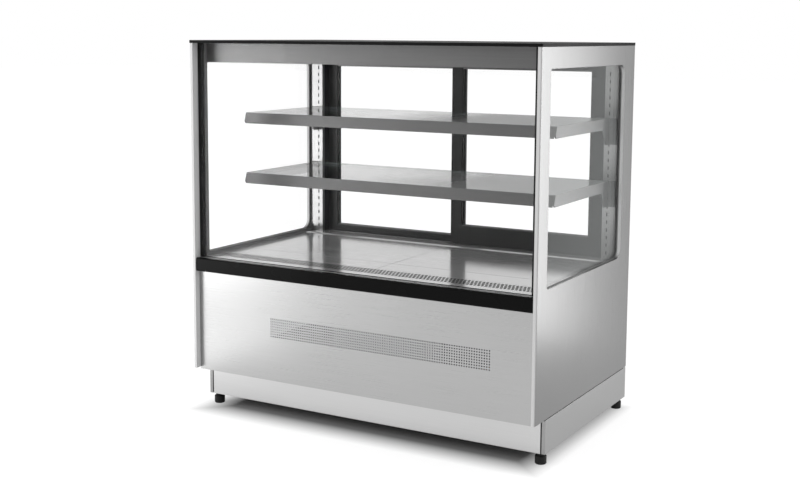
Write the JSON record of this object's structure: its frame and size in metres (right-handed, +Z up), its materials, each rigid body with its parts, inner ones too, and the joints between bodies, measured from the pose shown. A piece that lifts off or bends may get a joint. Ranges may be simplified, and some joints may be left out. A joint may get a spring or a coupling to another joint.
{
  "type": "refrigerated bakery display case",
  "caption": "Free-standing refrigerated bakery display case with square glass, glass shelves with price rails, sliding rear doors, a perforated vent and levelling feet.",
  "frame": {"origin": "on the floor under the middle of the case", "axes": "+X to the right seen from the front, +Y to the rear, +Z up"},
  "size_m": [1.21, 0.75, 1.2],
  "materials": {
    "stainless": "fine vertical brushed grain",
    "black_top": "smooth satin black",
    "black_gloss": "polished black",
    "black_post": "satin black",
    "dark_frame": "satin dark grey",
    "aluminium": "satin anodised",
    "price_rail": "satin grey anodised",
    "glass": "clear",
    "diffuser": "opal",
    "foot": "moulded black",
    "liner": "smooth dark grey",
    "control": "smooth black",
    "key": "matt grey",
    "rocker": "smooth red",
    "steel_base": "black coated steel",
    "window_ring": "satin dark grey",
    "machine_black": "gloss black",
    "coil": "bare fins",
    "copper": "bare copper",
    "fan": "moulded dark grey",
    "tray": "moulded dark grey"
  },
  "bodies": {
    "cabinet": {"top_panel": "black_top", "left_side_panel": "stainless", "right_side_panel": "stainless", "left_window_frame": "window_ring", "right_window_frame": "window_ring", "left_side_glass": "glass", "right_side_glass": "glass", "front_glass": "glass", "left_pillar": "black_post", "right_pillar": "black_post", "glass_channel": "aluminium", "front_bumper": "black_gloss", "front_panel": "stainless", "light_canopy": "price_rail", "led_bar": "aluminium", "led_diffuser": "diffuser", "base_frame": "steel_base", "plinth_front": "stainless", "plinth_left": "stainless", "plinth_right": "stainless", "plinth_rear": "stainless", "insulated_tub": "liner", "left_deck_pan": "stainless", "right_deck_pan": "stainless", "air_grille": "stainless", "door_sill": "stainless", "door_head": "dark_frame", "left_jamb": "dark_frame", "right_jamb": "dark_frame", "left_upright": "stainless", "right_upright": "stainless", "shelf_brackets": "price_rail", "upper_shelf_glass": "glass", "lower_shelf_glass": "glass", "upper_shelf_trim": "price_rail", "lower_shelf_trim": "price_rail", "rear_panel": "stainless", "controller": "control", "compressor": "machine_black", "condenser": "coil", "condenser_fan_motor": "machine_black", "evaporator": "coil", "evaporator_fan_motor": "machine_black", "drip_tray": "tray", "refrigerant_pipes": "copper"},
    "left_door": {"left_door_frame": "dark_frame", "left_door_glass": "glass"},
    "right_door": {"right_door_frame": "dark_frame", "right_door_glass": "glass"},
    "front_left_foot": {"front_left_foot": "foot"},
    "front_right_foot": {"front_right_foot": "foot"},
    "rear_left_foot": {"rear_left_foot": "foot"},
    "rear_right_foot": {"rear_right_foot": "foot"},
    "condenser_fan": {"condenser_fan": "fan"},
    "evaporator_fan": {"evaporator_fan": "fan"},
    "set_key": {"set_key": "key"},
    "up_key": {"up_key": "key"},
    "down_key": {"down_key": "key"},
    "power_switch": {"power_switch": "rocker"},
    "light_switch": {"light_switch": "rocker"}
  },
  "joints": [
    {"name": "left_door_slide", "type": "slide", "parent": "cabinet", "child": "left_door", "axis": [1, 0, 0], "range_m": [0, 0.5]},
    {"name": "right_door_slide", "type": "slide", "parent": "cabinet", "child": "right_door", "axis": [-1, 0, 0], "range_m": [0, 0.5]},
    {"name": "front_left_foot_screw", "type": "slide", "parent": "cabinet", "child": "front_left_foot", "axis": [0, 0, -1], "range_m": [0, 0.02]},
    {"name": "front_right_foot_screw", "type": "slide", "parent": "cabinet", "child": "front_right_foot", "axis": [0, 0, -1], "range_m": [0, 0.02]},
    {"name": "rear_left_foot_screw", "type": "slide", "parent": "cabinet", "child": "rear_left_foot", "axis": [0, 0, -1], "range_m": [0, 0.02]},
    {"name": "rear_right_foot_screw", "type": "slide", "parent": "cabinet", "child": "rear_right_foot", "axis": [0, 0, -1], "range_m": [0, 0.02]},
    {"name": "condenser_fan_spin", "type": "hinge", "parent": "cabinet", "child": "condenser_fan", "pos_m": [0.072, -0.217, 0.2425], "axis": [0, 1, 0], "continuous": true},
    {"name": "evaporator_fan_spin", "type": "hinge", "parent": "cabinet", "child": "evaporator_fan", "pos_m": [0, -0.223, 0.445], "axis": [0, 1, 0], "continuous": true},
    {"name": "set_key_press", "type": "slide", "parent": "cabinet", "child": "set_key", "axis": [0, -1, 0], "range_m": [0, 0.0012], "stiffness_N_per_m": 400},
    {"name": "up_key_press", "type": "slide", "parent": "cabinet", "child": "up_key", "axis": [0, -1, 0], "range_m": [0, 0.0012], "stiffness_N_per_m": 400},
    {"name": "down_key_press", "type": "slide", "parent": "cabinet", "child": "down_key", "axis": [0, -1, 0], "range_m": [0, 0.0012], "stiffness_N_per_m": 400},
    {"name": "power_switch_rock", "type": "hinge", "parent": "cabinet", "child": "power_switch", "pos_m": [0.286, 0.363, 0.426], "axis": [1, 0, 0], "range_deg": [0, 18]},
    {"name": "light_switch_rock", "type": "hinge", "parent": "cabinet", "child": "light_switch", "pos_m": [0.262, 0.363, 0.426], "axis": [1, 0, 0], "range_deg": [0, 18]}
  ]
}
